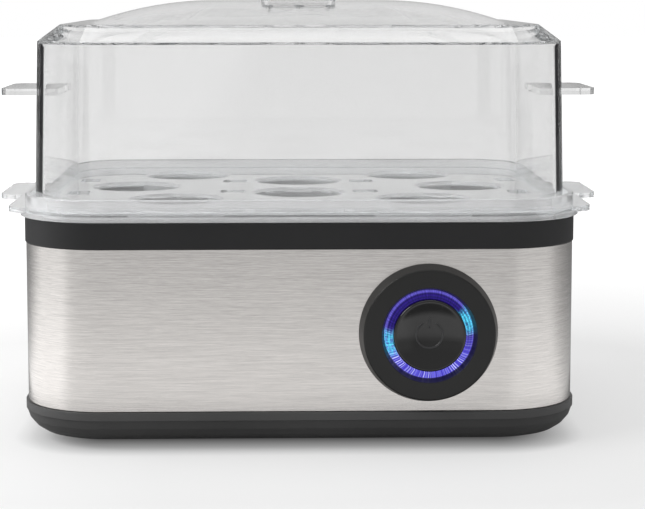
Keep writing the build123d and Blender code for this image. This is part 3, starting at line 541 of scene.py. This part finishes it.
def floor_finish():
    """White floor with a soft painted shadow near the body, on top of the lamps' real one; reflections see
    the paper's shades on it, and a painted dark band round the body.
    """
    net = Net("studio_floor", Roughness=0.12, Specular_IOR_Level=0.0)
    net.feed("Base Color", net.shades(net.noise(3, 2), (0.895, 0.895, 0.895), (0.905, 0.905, 0.905)))
    gloss = net.add("BsdfGlossy")
    gloss.inputs["Roughness"].default_value = 0.16
    sheen = net.mixed(0.05, net.bsdf, gloss)

    axes = net.axes()
    sides = []
    for axis, half in PLAN_HALF:
        past = net.math("SUBTRACT", net.math("ABSOLUTE", axes[axis]), half)
        sides.append(net.math("POWER", net.math("MAXIMUM", past, 0.0), 2.0))
    far = net.math("SQRT", net.math("ADD", *sides))

    # Painted shadow: the floor's glow is low by the body and rises outwards to the open floor's white, on
    # top of the real shadow the lamps cast on its lit part
    painted_shadow_glow = net.spread(far, 0.05, 0.54, 0.008, 0.036)
    open_floor = net.spread(far, 0.0, 0.47, 0.10, 0.45)
    # Painted light: the floor glows brighter on its left, so that its shadow seems to fall only to the
    # right
    left = net.spread(axes["X"], 0.13, 0.0, -0.14, -0.05)
    level = net.math("ADD", net.math("ADD", painted_shadow_glow, open_floor), net.math("MULTIPLY", left, painted_shadow_glow))
    level = net.math("MULTIPLY", level, background(net, 0.0))
    # For reflections the floor is painted: the paper's shades, a painted pool of light within about 22 cm
    # of the body, and a painted shadow, nearly black, within 8 cm of the base's plan
    shade = net.math("MULTIPLY", paper_shade(net), net.spread(far, 1.10, 0.66, 0.22, 0.47))
    shade = net.math("MULTIPLY", shade, net.spread(far, 0.03, 1.0, 0.080, 0.094))
    white = net.add("Emission")
    net.link(net.between(mirrored(net), level, shade), white.inputs["Strength"])

    dull = net.add("BsdfDiffuse")
    dull.inputs["Color"].default_value = (0.25, 0.25, 0.25, 1)
    glow = net.add("AddShader")
    lit = net.mixed(net.spread(far, 0.8, 1.0, 0.02, 0.3), sheen, dull)
    net.link(lit.outputs[0], glow.inputs[0])
    net.link(white.outputs[0], glow.inputs[1])
    net.show(glow)
    return net.mat


def floor():
    half = FLOOR_HALF
    corners = [(-half, -half, 0), (half, -half, 0), (half, half, 0), (-half, half, 0)]
    mesh = bpy.data.meshes.new("floor")
    mesh.from_pydata(corners, [], [(0, 1, 2, 3)])
    obj = placed("floor", mesh, floor_finish())


def hoop(name, radius, height, middle, kind, mat):
    """An upright band round the set that only one kind of ray sees."""
    bm = bmesh.new()
    bmesh.ops.create_cone(bm, segments=HOOP_SIDES, radius1=radius, radius2=radius, depth=height)
    obj = placed(name, meshed(name, bm), mat)
    obj.location.z = middle
    for ray in ("camera", "diffuse", "glossy", "transmission", "shadow"):
        setattr(obj, "visible_" + ray, ray == kind)


def paper_wall():
    """Curved paper round the set that only reflections see, one grey above the height of the part."""
    net = Net("paper")
    glow = net.add("Emission")
    above = net.spread(net.axes()["Z"], 0.0, 1.0, -0.95, -0.6)
    shade = net.math("MULTIPLY", paper_shade(net), WALL_PART)
    net.link(net.between(above, shade, WALL_TOP), glow.inputs["Strength"])
    net.show(glow)
    hoop("paper_wall", 2.0, 2.4, 1.196, "glossy", net.mat)


def dark_cards():
    """Black cards round the set that show only in the edges of clear plastic."""
    net = Net("dark_card")
    quarter = net.math("FRACT", net.math("ADD", net.math("MULTIPLY", around(net), 4.0), 0.5))
    off = net.math("ABSOLUTE", net.math("SUBTRACT", quarter, 0.5))
    card_here = net.spread(off, 0.0, 1.0, 0.29, 0.33)
    black = net.add("Emission")
    black.inputs["Color"].default_value = (0.02, 0.02, 0.022, 1)
    share = net.math("MULTIPLY", card_here, inside_bounce(net))
    net.show(net.mixed(share, net.add("BsdfTransparent"), black))
    hoop("dark_cards", 0.5, 0.135, 0.0775, "transmission", net.mat)


def softbox(name, spot, width, height, power):
    """A lamp aimed at the middle of the part, itself unseen."""
    lamp = bpy.data.lights.new(name, "AREA")
    lamp.shape = "RECTANGLE"
    lamp.size = width
    lamp.size_y = height
    lamp.energy = power
    obj = bpy.data.objects.new(name, lamp)
    bpy.context.scene.collection.objects.link(obj)
    obj.location = spot
    obj.rotation_euler = (Vector((0, 0, 0.08)) - Vector(spot)).to_track_quat("-Z", "Y").to_euler()
    obj.visible_camera = False
    obj.visible_transmission = False
    return obj


floor()
softbox("key", (-0.95, -0.55, 0.95), 0.6, 0.6, 7)
softbox("top", (0, 0.15, 1.15), 0.8, 0.7, 4)
# Seen from the side, the lamps' mirror images would wash out the dome
softbox("left", (-0.8, 0.05, 0.35), 0.55, 0.6, 2.2).visible_glossy = False
softbox("right", (0.8, 0.05, 0.35), 0.55, 0.6, 0.9).visible_glossy = False
paper_wall()
dark_cards()

scene = bpy.context.scene
world = bpy.data.worlds.new("studio")
scene.world = world
world.use_nodes = True
sky = Nodes(world.node_tree)
paint = sky.tree.nodes["Background"]
paint.inputs["Color"].default_value = (1, 1, 1, 1)
sky.link(background(sky, 0.38), paint.inputs["Strength"])

# The camera looks down and a little to the right, in degrees
LOOK_DOWN = 6.128
LOOK_RIGHT = 1.347
eye = bpy.data.cameras.new("camera")
eye.lens = 103.762
eye.sensor_width = 36
eye.shift_y = -0.1
eye.clip_start = 0.01
camera = bpy.data.objects.new("camera", eye)
scene.collection.objects.link(camera)
camera.location = (-0.008, -0.761, 0.1705)
camera.rotation_euler = (math.radians(90 - LOOK_DOWN), 0, math.radians(-LOOK_RIGHT))
scene.camera = camera
scene.view_settings.view_transform = "Standard"
# Light runs far along the clear walls of lid and tray before it leaves them
scene.cycles.max_bounces = 128
scene.cycles.glossy_bounces = 128
scene.cycles.transmission_bounces = 128
